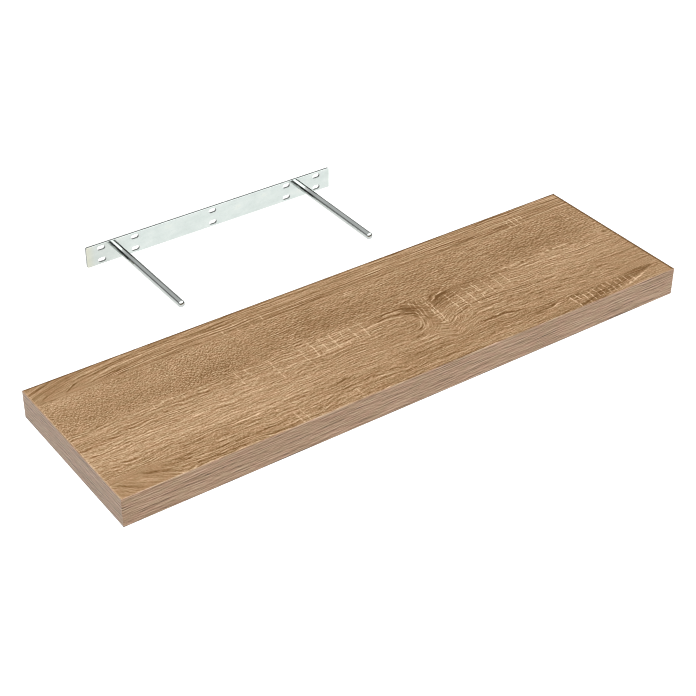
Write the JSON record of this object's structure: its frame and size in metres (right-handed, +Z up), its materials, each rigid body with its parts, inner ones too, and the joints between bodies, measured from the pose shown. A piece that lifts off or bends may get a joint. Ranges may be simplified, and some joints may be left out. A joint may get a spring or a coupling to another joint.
{
  "type": "floating wall shelf",
  "caption": "Hollow-core wall shelf board with oak decor that slides onto a hidden steel wall strip with riveted rods.",
  "frame": {"origin": "centre of the wall strip's back face, where it meets the wall", "axes": "+X along the board to the right for someone facing the wall, +Y into the wall, +Z up"},
  "size_m": [0.8, 0.479, 0.038],
  "materials": {
    "oak_decor_foil": "satin printed oak decor, grain along the board",
    "oak_edge_band": "satin printed oak decor band",
    "hardboard": "smooth brown fibreboard",
    "particleboard": "raw chips",
    "paper_honeycomb": "raw kraft paper",
    "zinc_plate": "bright zinc plated, rolled",
    "zinc_rod": "bright plated, drawn and polished"
  },
  "bodies": {
    "bracket": {"wall_plate": "zinc_plate", "left_rod": "zinc_rod", "right_rod": "zinc_rod"},
    "shelf": {"front_rail": "particleboard", "back_rail": "particleboard", "left_end_rail": "particleboard", "right_end_rail": "particleboard", "left_rod_block": "particleboard", "right_rod_block": "particleboard", "left_honeycomb": "paper_honeycomb", "centre_honeycomb": "paper_honeycomb", "right_honeycomb": "paper_honeycomb", "top_skin": "hardboard", "bottom_skin": "hardboard", "top_decor_foil": "oak_decor_foil", "bottom_decor_foil": "oak_decor_foil", "front_edge_band": "oak_edge_band", "back_edge_band": "oak_edge_band", "left_edge_band": "oak_edge_band", "right_edge_band": "oak_edge_band"}
  },
  "joints": [
    {"name": "shelf_slide", "type": "slide", "parent": "bracket", "child": "shelf", "axis": [0, 1, 0], "range_m": [0, 0.244]}
  ]
}
